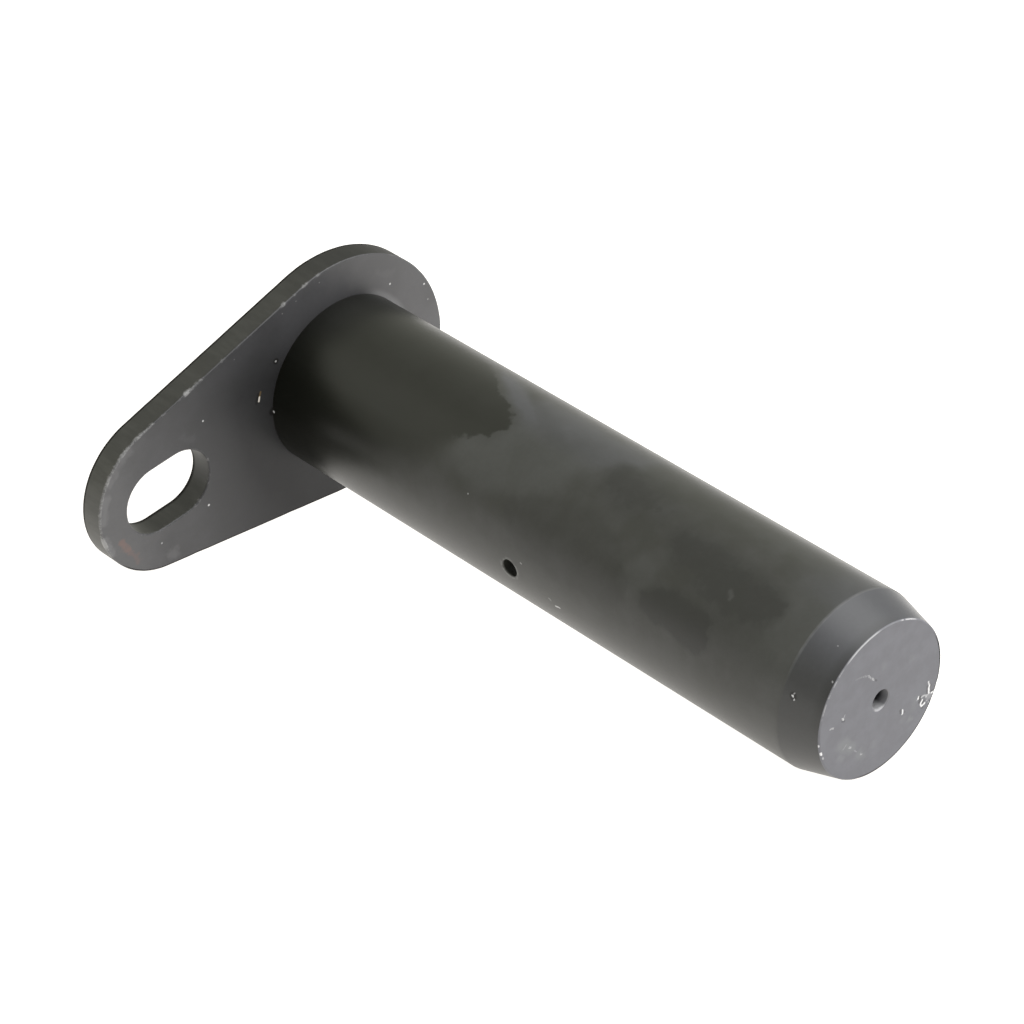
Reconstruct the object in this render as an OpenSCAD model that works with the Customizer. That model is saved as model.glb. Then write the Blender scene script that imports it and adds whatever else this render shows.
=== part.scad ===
// Pivot pin with a flag plate: a turned steel shaft, drilled for grease, whose
// spigot is welded into a drop-shaped plate with a slotted hole for one keeper bolt.
//
// The part is drawn about the shaft's axis (z, from the plate to the free end,
// with the flag along +x) and then laid down the way it comes to rest: on one
// straight edge of the plate and on the rim where the lead-in taper starts.
// The origin stays where the axis meets the plate's front face.

/* [Shaft] */
// Diameter of the shaft
shaft_d = 40; // [40:0.5:50]
// Diameter of the spigot that goes through the plate
spigot_d = 38; // [32:0.5:39]
// Length from the plate's front face to the end face
shaft_len = 160; // [110:1:260]
// Length of the lead-in taper at the free end
taper_len = 9; // [3:0.5:20]
// Angle between the taper and the axis
taper_angle = 15; // [5:1:30]
// Edge break at the rim of the end face
edge_break = 0.4; // [0.1:0.1:1]

/* [Grease drilling] */
// Diameter of the drilling along the axis
gallery_d = 4.5; // [3:0.1:8]
// Diameter of the cross hole
cross_d = 4; // [2:0.1:8]
// Distance of the cross hole from the plate's front face
cross_pos = 75; // [30:1:120]
// Edge break at the mouth of each drilled hole
mouth_break = 0.3; // [0.1:0.1:1]

/* [Flag plate] */
// Thickness of the plate
plate_t = 6; // [4:0.5:12]
// Radius of the big end, round the shaft
big_r = 29.5; // [28:0.5:40]
// Radius of the small end, round the slot
small_r = 18.7; // [14:0.1:24]
// Distance from the shaft's axis to the centre of the small end
flag_reach = 50; // [46:0.5:80]

/* [Slot] */
// Width of the slot
slot_w = 16.2; // [10:0.1:20]
// Length of the slot, end to end
slot_len = 22.7; // [20.5:0.1:26]

/* [Weld] */
// How far the bead stands out from the back of the plate
weld_crown = 1.2; // [0.5:0.1:2.5]
// How far the bead laps past the groove on each side
weld_lap = 1.5; // [0.5:0.1:3]

/* [Hidden] */
$fn = 96;

shaft_r = shaft_d / 2;
spigot_r = spigot_d / 2;
wall_len = shaft_len - taper_len;
end_r = shaft_r - taper_len * tan(taper_angle);
gallery_r = gallery_d / 2;
cross_r = cross_d / 2;
// The drilling stops just past the cross hole, in a 118 degree point
gallery_stop = cross_pos - cross_r - 1;
point_len = gallery_r / tan(59);
// Depth of the welding bevel on the spigot's end
groove = plate_t * 2 / 3;
// Depth of the cone that seats the shaft in the mouth of the plate's hole
seat = plate_t / 6;
// Angle from the flag's direction to the normal of each straight side
side_angle = acos((big_r - small_r) / flag_reach);
slot_half = (slot_len - slot_w) / 2;
// The flat sides lie this little inside the true tangents, so that they cross
// the round ends at a clear angle
inset = 0.01;
// Slope of the axis when the pin lies on the plate's edge and the taper's rim
lie_angle = atan((big_r - shaft_r) / wall_len);

// Lays the upright drawing down: the axis runs along +X and a little down, the
// lower straight edge of the plate lies level along Y, and the flag is on -Y.
module lying() {
    rotate([0, 90 + lie_angle, 0]) rotate([0, 0, -side_angle]) children();
}

// The flag: a round end about the shaft and a smaller one about the slot,
// joined by two straight sides
module flag_blank() {
    translate([0, 0, -plate_t]) {
        cylinder(r = big_r, h = plate_t);
        translate([flag_reach, 0, 0]) cylinder(r = small_r, h = plate_t);
        linear_extrude(plate_t) polygon([
            for (e = [[1, 0, big_r], [1, flag_reach, small_r], [-1, flag_reach, small_r], [-1, 0, big_r]])
                [e[1], 0] + (e[2] - inset) * [cos(side_angle), e[0] * sin(side_angle)]
        ]);
    }
}

// The slot: two round ends and the straight stretch between them
module slot_cut() {
    translate([flag_reach, 0, -plate_t - 1]) {
        for (s = [-1, 1]) translate([s * slot_half, 0, 0]) cylinder(d = slot_w, h = plate_t + 2);
        translate([-slot_half, inset - slot_w / 2, 0])
            cube([2 * slot_half, slot_w - 2 * inset, plate_t + 2]);
    }
}

module pin_shaft() {
    color([0.24, 0.24, 0.22]) lying() difference() {
        rotate_extrude() polygon([
            [0, -plate_t], [spigot_r - groove, -plate_t], [spigot_r, groove - plate_t],
            [spigot_r, -seat], [shaft_r, 0], [shaft_r, wall_len],
            [end_r + edge_break * tan(taper_angle), shaft_len - edge_break],
            [end_r - edge_break, shaft_len], [0, shaft_len]
        ]);
        // drilling along the axis, with its point and the break at its mouth
        translate([0, 0, gallery_stop]) cylinder(r = gallery_r, h = shaft_len);
        translate([0, 0, gallery_stop - point_len])
            cylinder(r1 = 0, r2 = gallery_r, h = point_len);
        translate([0, 0, shaft_len - mouth_break])
            cylinder(r1 = gallery_r, r2 = gallery_r + 2 * mouth_break, h = 2 * mouth_break);
        // cross hole on the flag's side, from the surface to the drilling
        translate([0, 0, cross_pos]) rotate([0, 90, 0]) {
            cylinder(r = cross_r, h = shaft_r + 1);
            translate([0, 0, shaft_r - mouth_break])
                cylinder(r1 = cross_r, r2 = cross_r + 2 * mouth_break, h = 2 * mouth_break);
        }
    }
}

module flag_plate() {
    color([0.34, 0.34, 0.36]) lying() difference() {
        flag_blank();
        // hole for the spigot, with a coned mouth as wide as the shaft
        translate([0, 0, -plate_t - 1]) cylinder(r = spigot_r, h = plate_t + 2);
        translate([0, 0, -seat])
            cylinder(r1 = spigot_r, r2 = 2 * shaft_r - spigot_r, h = 2 * seat);
        slot_cut();
    }
}

// Ring weld in the groove on the back: fills the bevel, laps on to the spigot's
// end and the plate, and stands out in a low round crown.
module weld_bead() {
    half = groove / 2 + weld_lap;
    mid = spigot_r - groove / 2;
    steps = 10;
    color([0.30, 0.30, 0.30]) lying() rotate_extrude() polygon([
        [spigot_r - groove, -plate_t], [spigot_r, groove - plate_t], [spigot_r, -plate_t],
        for (i = [0:steps]) let (u = 1 - 2 * i / steps)
            [mid + u * half, -plate_t - weld_crown * (1 - u * u)]
    ]);
}

pin_shaft();
flag_plate();
weld_bead();
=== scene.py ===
# A lying pivot pin: turned shaft, drop-shaped flag plate and the ring weld behind it.
# Lengths are in millimetres about the shaft's axis (z from the plate's front face to
# the free end, the flag along +x), and are laid down into the row frame at the end.
import bpy
import math
import numpy as np
from mathutils import Matrix, Vector, noise
from mathutils.geometry import delaunay_2d_cdt


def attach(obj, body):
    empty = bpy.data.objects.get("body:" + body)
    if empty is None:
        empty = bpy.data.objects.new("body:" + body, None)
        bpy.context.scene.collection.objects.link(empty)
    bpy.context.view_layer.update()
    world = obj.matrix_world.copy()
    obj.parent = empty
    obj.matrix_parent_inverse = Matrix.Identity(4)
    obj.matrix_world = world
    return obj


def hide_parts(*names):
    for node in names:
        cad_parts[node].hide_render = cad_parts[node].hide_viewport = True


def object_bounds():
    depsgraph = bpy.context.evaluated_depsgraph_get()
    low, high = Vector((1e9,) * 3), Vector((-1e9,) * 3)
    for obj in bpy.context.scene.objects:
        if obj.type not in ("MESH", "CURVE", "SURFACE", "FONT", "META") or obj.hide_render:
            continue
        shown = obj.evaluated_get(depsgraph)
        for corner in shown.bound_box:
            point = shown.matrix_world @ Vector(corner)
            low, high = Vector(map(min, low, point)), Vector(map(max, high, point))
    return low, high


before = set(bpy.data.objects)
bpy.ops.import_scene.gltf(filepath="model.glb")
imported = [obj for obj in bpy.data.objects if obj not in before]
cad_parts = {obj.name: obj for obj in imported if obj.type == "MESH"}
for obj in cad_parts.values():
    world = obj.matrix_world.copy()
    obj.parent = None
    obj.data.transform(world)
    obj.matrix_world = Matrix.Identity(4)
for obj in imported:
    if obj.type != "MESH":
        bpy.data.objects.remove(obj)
cad_lo, cad_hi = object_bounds()

# ---------------------------------------------------------------- sizes
SHAFT_R, SPIGOT_R, LENGTH, TAPER_LEN, TAPER = 20.0, 19.0, 160.0, 9.0, math.radians(15)
WALL = LENGTH - TAPER_LEN
GALLERY_R, CROSS_R, CROSS_Z, GALLERY_STOP = 2.25, 2.0, 75.0, 72.0
PLATE_T, BIG_R, SMALL_R, REACH = 6.0, 29.5, 18.7, 50.0
SLOT_W, SLOT_LEN = 16.2, 22.7
GROOVE, SEAT = 4.0, 1.0
WELD_CROWN, WELD_LAP = 1.2, 1.5

SIDE = math.acos((BIG_R - SMALL_R) / REACH)
LIE = math.atan((BIG_R - SHAFT_R) / WALL)
LAY = Matrix.Rotation(math.pi / 2 + LIE, 3, "Y") @ Matrix.Rotation(-SIDE, 3, "Z")
LAY_NP = np.array(LAY)


def wobble(*p):
    """Smooth seeded noise from -1 to 1."""
    return noise.noise(Vector(p))


def smooth(lo, hi, x):
    """Smooth step from 0 at lo to 1 at hi."""
    t = min(1.0, max(0.0, (x - lo) / (hi - lo)))
    return t * t * (3 - 2 * t)


# ---------------------------------------------------------------- mesh helper
class Shape:
    """Vertices and faces in the upright drawing, with a normal at each corner."""

    def __init__(self):
        self.co, self.faces, self.nor, self.skin = [], [], [], []
        self.part = 0       # which of the piece's materials the next faces wear
        self.masks = {}     # name -> {vertex: value}, or one value for each vertex

    def vert(self, x, y, z):
        self.co.append((x, y, z))
        return len(self.co) - 1

    def face(self, ids, normals):
        self.faces.append(list(ids))
        self.nor.extend(normals)
        self.skin.append(self.part)

    def mask(self, name, v, value):
        self.masks.setdefault(name, {})[v] = value

    def strip(self, a, b, na, nb, flip=False):
        """Quads between two closed rings of the same length."""
        n = len(a)
        for i in range(n):
            j = (i + 1) % n
            ids, nn = [a[i], a[j], b[j], b[i]], [na[i], na[j], nb[j], nb[i]]
            if flip:
                ids, nn = ids[::-1], nn[::-1]
            self.face(ids, nn)

    def fan(self, ring, centre, normal, flip=False):
        n = len(ring)
        for i in range(n):
            j = (i + 1) % n
            ids = [ring[i], ring[j], centre]
            self.face(ids[::-1] if flip else ids, [normal] * 3)

    def build(self, name, materials, node, slot):
        me = bpy.data.meshes.new(name)
        co = (np.array(self.co) @ LAY_NP.T) * 0.001
        me.from_pydata(co.tolist(), [], self.faces)
        me.polygons.foreach_set("use_smooth", [True] * len(me.polygons))
        nor = np.array(self.nor) @ LAY_NP.T
        nor /= np.linalg.norm(nor, axis=1)[:, None]
        me.normals_split_custom_set(nor.tolist())
        for key, values in self.masks.items():
            if isinstance(values, dict):
                values = [float(values.get(i, 0.0)) for i in range(len(self.co))]
            me.attributes.new(key, "FLOAT", "POINT").data.foreach_set("value", values)
        for material in materials:
            me.materials.append(material)
        me.polygons.foreach_set("material_index", self.skin)
        ob = bpy.data.objects.new(name, me)
        bpy.context.scene.collection.objects.link(ob)
        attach(ob, "root")
        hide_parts(node)
        return ob


# ---------------------------------------------------------------- shaft
SEG = 256


def rim_nick(theta_deg):
    """Depth of the small knocks in the rim of the end face."""
    d = 0.03 * (1 + wobble(theta_deg * 0.09, 3.1, 0.0))
    for at, half, deep in ((-3.5, 2.2, 0.24), (7.5, 2.0, 0.20), (-118.0, 4.0, 0.14),
                           (148.0, 6.0, 0.22), (156.0, 3.0, 0.16), (64.0, 3.0, 0.10)):
        k = abs((theta_deg - at + 180) % 360 - 180) / half
        if k < 1:
            d += deep * (1 - k * k) ** 2
    return d


def shaft_shape():
    s = Shape()
    theta = [2 * math.pi * i / SEG for i in range(SEG)]
    cs = [(math.cos(t), math.sin(t)) for t in theta]
    deg = [math.degrees(t) for t in theta]

    def ring(r, z, n=SEG):
        step = SEG // n
        return [s.vert(r * cs[i][0], r * cs[i][1], z) for i in range(0, SEG, step)]

    def normals(nr, nz, n=SEG):
        step = SEG // n
        return [(nr * cs[i][0], nr * cs[i][1], nz) for i in range(0, SEG, step)]

    # back end: the spigot's flat, the weld bevel, the spigot and its coned seat
    down = normals(0, -1)
    centre = s.vert(0, 0, -PLATE_T)
    prev = ring(2.0, -PLATE_T)
    s.fan(prev, centre, (0, 0, -1), flip=True)
    for r in (5.0, 9.0, 12.5, SPIGOT_R - GROOVE):
        cur = ring(r, -PLATE_T)
        s.strip(prev, cur, down, down)
        prev = cur
    half = math.sqrt(0.5)
    for r, z, nn in ((SPIGOT_R, GROOVE - PLATE_T, normals(half, -half)),
                     (SPIGOT_R, -SEAT, normals(1, 0)),
                     (SHAFT_R, 0.0, normals(half, -half))):
        cur = ring(r, z)
        s.strip(prev, cur, nn, nn)
        prev = cur

    # round wall, with a square patch left out round the cross hole
    out = normals(1, 0)
    cells = 16
    lo_z, hi_z = CROSS_Z - 4.0, CROSS_Z + 4.0
    rows = [0.5] + list(range(1, 71))
    rows += [lo_z + (hi_z - lo_z) * i / cells for i in range(cells + 1)]
    rows += list(range(80, 151))
    block = set((i % SEG) for i in range(-cells // 2, cells // 2))
    patch = {}
    last_z = 0.0
    for z in rows:
        cur = ring(SHAFT_R, z)
        if lo_z - 1e-6 < z < hi_z + 1e-6:
            k = round((z - lo_z) / (hi_z - lo_z) * cells)
            for c in range(cells + 1):
                patch[(c, k)] = cur[(c - cells // 2) % SEG]
        inside = last_z > lo_z - 1e-6 and z < hi_z + 1e-6
        for i in range(SEG):
            if inside and i in block:
                continue
            j = (i + 1) % SEG
            s.face([prev[i], prev[j], cur[j], cur[i]], [out[i], out[j], out[j], out[i]])
        prev, last_z = cur, z

    # lead-in taper with a faintly rounded start, then the rounded rim of the end face
    soft = 2.4
    for k in range(1, 5):
        a0, a1 = TAPER * (k - 1) / 4, TAPER * k / 4
        t = soft * math.tan(TAPER / 2)
        cz, cr = WALL - t, SHAFT_R - soft
        cur = ring(cr + soft * math.cos(a1), cz + soft * math.sin(a1))
        s.strip(prev, cur, normals(math.cos(a0), math.sin(a0)), normals(math.cos(a1), math.sin(a1)))
        prev = cur
    tn = normals(math.cos(TAPER), math.sin(TAPER))
    end_r = SHAFT_R - TAPER_LEN * math.tan(TAPER)
    fil = 0.42
    # centre of the rim's rounding, tangent to the taper and to the end face
    cz = LENGTH - fil
    cr = end_r - fil * math.tan((math.pi / 2 - TAPER) / 2)
    for f in (0.2, 0.45, 0.7, 0.9):
        z = WALL + (cz + fil * math.sin(TAPER) - WALL) * f
        cur = ring(SHAFT_R - (z - WALL) * math.tan(TAPER), z)
        s.strip(prev, cur, tn, tn)
        prev = cur
    steps = 7
    prev_n = tn
    for k in range(steps + 1):
        a = TAPER + (math.pi / 2 - TAPER) * k / steps
        bulge = math.sin(math.pi * k / steps)
        ids, nn = [], []
        for i in range(SEG):
            c = math.cos(a)
            d = rim_nick(deg[i]) * bulge * 0.7
            r = cr + fil * c - d * math.cos(a)
            z = cz + fil * math.sin(a) - d * math.sin(a)
            ids.append(s.vert(r * cs[i][0], r * cs[i][1], z))
            nn.append((c * cs[i][0], c * cs[i][1], math.sin(a)))
        s.strip(prev, ids, prev_n if k else tn, nn if k else tn)
        prev, prev_n = ids, nn
        s.part = 1
        for v in ids:
            s.mask("rim", v, (0.0, 0.1, 0.5, 1.0, 1.0, 0.6, 0.15, 0.0)[k])

    # end face, the rounded mouth of the grease drilling, its wall and its point
    up = normals(0, 1)
    for r in (16.2, 13.0, 9.5, 6.0, 3.6):
        cur = ring(r, LENGTH)
        s.strip(prev, cur, up, up)
        prev = cur
    prev_n = up
    for k in range(6):
        a = math.pi / 2 * k / 5
        ids, nn = [], []
        for i in range(SEG):
            # the drill left a wider, torn mouth on one side
            tear = math.exp(-(((deg[i] - 62 + 180) % 360 - 180) / 42.0) ** 2)
            br = 0.30 + 0.34 * tear * (1 + 0.25 * wobble(deg[i] * 0.11, 8.0, 1.0))
            r = GALLERY_R + br * (1 - math.sin(a))
            z = LENGTH - br * (1 - math.cos(a))
            ids.append(s.vert(r * cs[i][0], r * cs[i][1], z))
            nn.append((-math.sin(a) * cs[i][0], -math.sin(a) * cs[i][1], math.cos(a)))
        s.strip(prev, ids, prev_n, nn)
        prev, prev_n = ids, nn
    inward = normals(-1, 0)
    for z in (158.0, 154.0, 140.0, 110.0, GALLERY_STOP):
        cur = ring(GALLERY_R, z)
        s.strip(prev, cur, inward, inward)
        prev = cur
    tip = s.vert(0, 0, GALLERY_STOP - GALLERY_R / math.tan(math.radians(59)))
    for i in range(SEG):
        j = (i + 1) % SEG
        s.face([prev[i], prev[j], tip], [(-cs[i][0] * .515, -cs[i][1] * .515, .857), (-cs[j][0] * .515, -cs[j][1] * .515, .857), (0, 0, 1)])

    # cross hole: square patch to round mouth, rounded break, wall and floor
    s.part = 0
    edge = [(c, 0) for c in range(cells)] + [(cells, k) for k in range(cells)]
    edge += [(c, cells) for c in range(cells, 0, -1)] + [(0, k) for k in range(cells, 0, -1)]
    loop = [patch[e] for e in edge]
    flat = []
    for c, k in edge:
        a = (c - cells // 2) * 2 * math.pi / SEG * SHAFT_R
        flat.append((a, lo_z + (hi_z - lo_z) * k / cells - CROSS_Z))
    ang = [math.atan2(b, a) for a, b in flat]

    def on_wall(a, b):
        t = a / SHAFT_R
        return (SHAFT_R * math.cos(t), SHAFT_R * math.sin(t), CROSS_Z + b), (math.cos(t), math.sin(t), 0.0)

    prev, prev_n = loop, [on_wall(a, b)[1] for a, b in flat]
    brk = 0.34
    for f in (0.35, 0.65, 0.88, 1.0):
        ids, nn = [], []
        for (a, b), g in zip(flat, ang):
            m = CROSS_R + brk
            p, nrm = on_wall(a + (m * math.cos(g) - a) * f, b + (m * math.sin(g) - b) * f)
            ids.append(s.vert(*p))
            nn.append(nrm)
        s.strip(prev, ids, prev_n, nn)
        prev, prev_n = ids, nn
    for k in range(1, 6):
        al = math.pi / 2 * k / 5
        ids, nn = [], []
        for g in ang:
            rho = CROSS_R + brk * (1 - math.sin(al))
            y, b = rho * math.cos(g), rho * math.sin(g)
            x = math.sqrt(SHAFT_R ** 2 - y * y) - brk * (1 - math.cos(al))
            ids.append(s.vert(x, y, CROSS_Z + b))
            t = y / SHAFT_R
            nn.append((math.cos(al), math.cos(al) * t - math.sin(al) * math.cos(g), -math.sin(al) * math.sin(g)))
        s.strip(prev, ids, prev_n, nn)
        prev, prev_n = ids, nn
    for x in (18.0, 14.0, 8.0, 2.6):
        ids = [s.vert(x, CROSS_R * math.cos(g), CROSS_Z + CROSS_R * math.sin(g)) for g in ang]
        nn = [(0, -math.cos(g), -math.sin(g)) for g in ang]
        s.strip(prev, ids, prev_n, nn)
        prev, prev_n = ids, nn
    s.fan(prev, s.vert(2.6, 0, CROSS_Z), (1, 0, 0))
    stain_and_shade_masks(s)
    return s


# Stains on the wall, as outlines in degrees round the shaft and millimetres along it.
# The oil stain next to the plate also carries the width of its edge at each point.
OIL_STAIN = ((-235, -10, 8), (-235, 36, 8), (-200, 34, 8), (-170, 38, 8), (-150, 35, 7), (-135, 34, 5), (-124, 38, 3),
             (-116, 43, 1.4), (-107, 47.0, 1.0), (-100, 49.8, 0.9), (-95.5, 53.8, 0.8), (-90, 58.0, 0.8), (-86, 58.8, 0.8),
             (-84, 59.8, 0.8), (-79, 60.8, 0.8), (-73, 60.6, 0.8), (-70, 58.6, 0.8), (-68, 56.6, 0.9), (-65, 55.4, 1.0),
             (-61.5, 54, 1.4), (-57, 51.5, 3.5), (-50, 50, 6), (-42, 48, 8), (-34, 44, 9), (-25, 38, 9), (-14, 30, 9),
             (-5, 22, 8), (6, 17, 5), (20, 11, 3), (60, 22, 8), (100, 30, 8), (125, 36, 8), (125, -10, 8))
# strength, edge width and outline of each paler tide mark
PALE_MARKS = ((1.30, 3.4, ((-121, 44), (-108, 50), (-99, 53.5), (-94, 58.5), (-87, 61), (-92, 66), (-104, 60), (-117, 52))),
              (0.85, 5.0, ((-120, 58), (-120, 91), (-104, 91), (-95, 88), (-84, 85), (-72, 82), (-64, 80.5), (-56, 78),
                           (-46, 72), (-40, 68), (-37, 61), (-40, 55), (-52, 52), (-62, 54), (-70, 60), (-84, 61), (-96, 58))),
              (0.75, 2.6, ((-55, 107), (-45, 105), (-32, 104.5), (-29, 108), (-36, 111), (-44, 113), (-52, 112))),
              (0.60, 9.0, ((170, 60), (170, 95), (130, 98), (128, 66))), (0.50, 8.0, ((80, 50), (84, 84), (52, 88), (50, 58))))
DARK_MARKS = ((0.90, 4.0, ((-101, 88, 0.9), (-100, 95, 1.3), (-94, 101, 2.2), (-88, 106, 2.6), (-81, 105, 2.6), (-74, 99, 2.4),
                           (-73, 94, 2.0), (-80, 89, 1.0), (-90, 86.5, 0.7))),
              (1.00, 4.0, ((-82, 111, 1.6), (-84, 119, 1.6), (-80, 128, 1.8), (-78, 136, 1.4), (-74, 142.5, 0.7), (-66, 143.5, 0.6), (-58, 142, 0.9),
                           (-50, 138, 1.8), (-48, 130, 2.2), (-51, 123, 2.2), (-59, 119, 2.0), (-60, 114, 1.5), (-70, 110.5, 1.2))),
              (1.00, 2.6, ((-44, 115, 1.4), (-36, 110.8, 0.6), (-29, 112, 0.5), (-23, 116.5, 0.5), (-23.5, 121, 0.6), (-20, 126, 0.6), (-19, 129, 0.6),
                           (-26, 131, 0.8), (-32, 130.8, 0.8), (-36, 129.5, 1.0), (-43, 130, 1.4), (-47, 126, 1.8), (-46, 120, 1.8))),
              (0.37, 2.4, ((-62, 87), (-45, 72.5), (-36, 71), (-25, 74), (-15, 80), (-13, 95), (-20, 106), (-36, 108), (-45, 104),
                           (-58, 100))),
              (0.30, 3.4, ((-119, 55), (-112, 61), (-104, 66), (-96, 71), (-88, 74), (-84, 70), (-90, 66), (-98, 62.5), (-108, 57),
                           (-116, 52.5))),
              (0.70, 7.0, ((150, 96), (150, 128), (112, 132), (108, 100))), (0.80, 6.0, ((66, 98), (70, 130), (98, 134), (100, 104))))
# how far the painted black shade at the shaft's foot reaches from the plate: degrees, all black up to, gone by
FOOT_SHADE_REACH = ((-180, 2, 16), (-140, 3, 16), (-110, 2, 18), (-86, 2, 18), (-74, 2, 16), (-62, -2, 14), (-50, 0, 17), (-38, 4, 27),
         (-26, 6, 42), (-14, 8, 37), (-2, 9, 24), (10, 11, 18), (22, 7, 11.5), (35, 3, 12), (180, 2, 16))


def stain_and_shade_masks(s):
    """Sets the stain masks and the painted shade at the foot, for each vertex of the shaft."""
    co = np.array(s.co)
    per = math.radians(SHAFT_R)
    deg = np.degrees(np.arctan2(co[:, 1], co[:, 0]))

    def drift(p, k):
        """Seeded shift of a point, in millimetres."""
        return wobble(p[0] * 0.17 + k, p[1] * 0.17, p[2] * 0.17) * 1.1 + wobble(p[0] * 0.55, p[1] * 0.55 + k, p[2] * 0.55) * 0.45

    push = np.array([(drift(p, 3.7), drift(p, 41.3)) for p in s.co])
    u, z = deg * per + push[:, 0], co[:, 2] + push[:, 1]

    def inside(points, u, z):
        """Distance from an outline, positive inside it, and the edge width at the nearest point."""
        pu = np.array([p[0] * per for p in points])
        pz = np.array([p[1] for p in points])
        pw = np.array([p[2] if len(p) > 2 else 1.0 for p in points])
        best, wide, odd = np.full(u.shape, 1e9), np.ones(u.shape), np.zeros(u.shape, bool)
        for i in range(len(points)):
            j = (i + 1) % len(points)
            du, dz = pu[j] - pu[i], pz[j] - pz[i]
            f = np.clip(((u - pu[i]) * du + (z - pz[i]) * dz) / (du * du + dz * dz), 0, 1)
            d = np.hypot(u - pu[i] - f * du, z - pz[i] - f * dz)
            near = d < best
            best = np.where(near, d, best)
            wide = np.where(near, pw[i] + f * (pw[j] - pw[i]), wide)
            if dz != 0:
                odd ^= ((pz[i] > z) != (pz[j] > z)) & (u < pu[i] + (z - pz[i]) * du / dz)
        return np.where(odd, best, -best), wide

    turn = 360 * per
    stain, crisp = np.full(u.shape, -9.0), np.zeros(u.shape)
    for shift in (-turn, 0.0, turn):
        d, w = inside(OIL_STAIN, u + shift, z)
        d = np.clip(d / w, -9, 9)
        crisp = np.where(d > stain, np.clip((5.0 - w) / 3.4, 0, 1), crisp)
        stain = np.maximum(stain, d)

    def marks(table):
        m = np.zeros(u.shape)
        for strength, w, points in table:
            d, wide = inside(points, u, z)
            t = np.clip(d / (w * wide) + 0.5, 0, 1)
            m = np.maximum(m, strength * t * t * (3 - 2 * t))
        return m

    # painted shade at the shaft's foot, fading out along the wall
    g = np.array(FOOT_SHADE_REACH)
    full, gone = np.interp(deg, g[:, 0], g[:, 1]), np.interp(deg, g[:, 0], g[:, 2])
    t = np.clip((gone - z) / (gone - full), 0, 1)
    spigot = co[:, 2] < -0.5
    stain[spigot], t[spigot] = -9.0, 0.0
    s.masks["stain"] = stain.tolist()
    s.masks["crisp"] = crisp.tolist()
    s.masks["pale"] = marks(PALE_MARKS).tolist()
    s.masks["dark"] = marks(DARK_MARKS).tolist()
    s.masks["painted_shade"] = (t * t * (3 - 2 * t)).tolist()


# ---------------------------------------------------------------- flag plate
def outline():
    """Closed outer line of the flag, counter-clockwise: points and outward directions."""
    pts = []
    for i in range(176):
        a = SIDE + (2 * math.pi - 2 * SIDE) * i / 176
        pts.append((BIG_R * math.cos(a), BIG_R * math.sin(a), a))
    low = (BIG_R * math.cos(SIDE), -BIG_R * math.sin(SIDE))
    far = (REACH + SMALL_R * math.cos(SIDE), -SMALL_R * math.sin(SIDE))
    for i in range(64):
        f = i / 64
        pts.append((low[0] + (far[0] - low[0]) * f, low[1] + (far[1] - low[1]) * f, -SIDE))
    for i in range(96):
        a = -SIDE + 2 * SIDE * i / 96
        pts.append((REACH + SMALL_R * math.cos(a), SMALL_R * math.sin(a), a))
    for i in range(64):
        f = i / 64
        pts.append((far[0] + (low[0] - far[0]) * f, -far[1] + (far[1] - low[1]) * f, SIDE))
    return pts


def slot_line():
    """Closed line of the slot, counter-clockwise, with directions out of the slot."""
    r, h = SLOT_W / 2, (SLOT_LEN - SLOT_W) / 2
    pts = []
    for sx, a0 in ((1, -math.pi / 2), (-1, math.pi / 2)):
        for i in range(48):
            a = a0 + math.pi * i / 48
            pts.append((REACH + sx * h + r * math.cos(a), r * math.sin(a), a))
        for i in range(6):
            f = i / 6
            a = a0 + math.pi
            pts.append((REACH + sx * h * (1 - 2 * f), sx * r, a))
    return pts


# knocks and rubbed stretches of the plate's front corner: x, y, half length, extra rounding
RUBBED = ((37.6, -21.8, 4.0, 0.10), (40.4, -21.2, 1.7, 0.20), (42.4, -20.6, 1.0, 0.10), (30.0, -23.6, 1.2, 0.08),
          (25.4, -24.6, 0.8, 0.10), (5.5, -28.9, 2.0, 0.13), (8.6, -28.4, 0.9, 0.10), (11.8, -27.8, 1.3, 0.20), (1.6, -29.4, 1.2, 0.14),
          (-1.4, -29.4, 0.8, 0.10), (47.6, -19.5, 1.0, 0.10),
          (54.5, -18.1, 3.4, 0.06), (59.5, -16.0, 4.0, 0.07), (64.5, -11.5, 4.2, 0.06), (67.6, -6.0, 3.2, 0.05),
          (68.6, 2.6, 3.2, 0.26), (67.6, 6.2, 2.4, 0.16), (-25.5, -14.6, 2.0, 0.08), (-28.9, 5.0, 3.0, 0.10),
          (20.0, 26.5, 3.0, 0.12), (46.0, 20.0, 2.5, 0.12))


def corner(x, y):
    """Radius of the plate's front corner at a point of its outline."""
    r = 0.26 + 0.05 * wobble(x * 0.35, y * 0.35, 4.0) + 0.03 * wobble(x * 1.3, y * 1.3, 7.0)
    for px, py, half, extra in RUBBED:
        k = math.hypot(x - px, y - py) / half
        if k < 1:
            r += extra * (1 - k * k) ** 2 * (1 + 0.35 * wobble(x * 1.9, y * 1.9, 2.0))
    return max(0.16, r)


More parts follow.
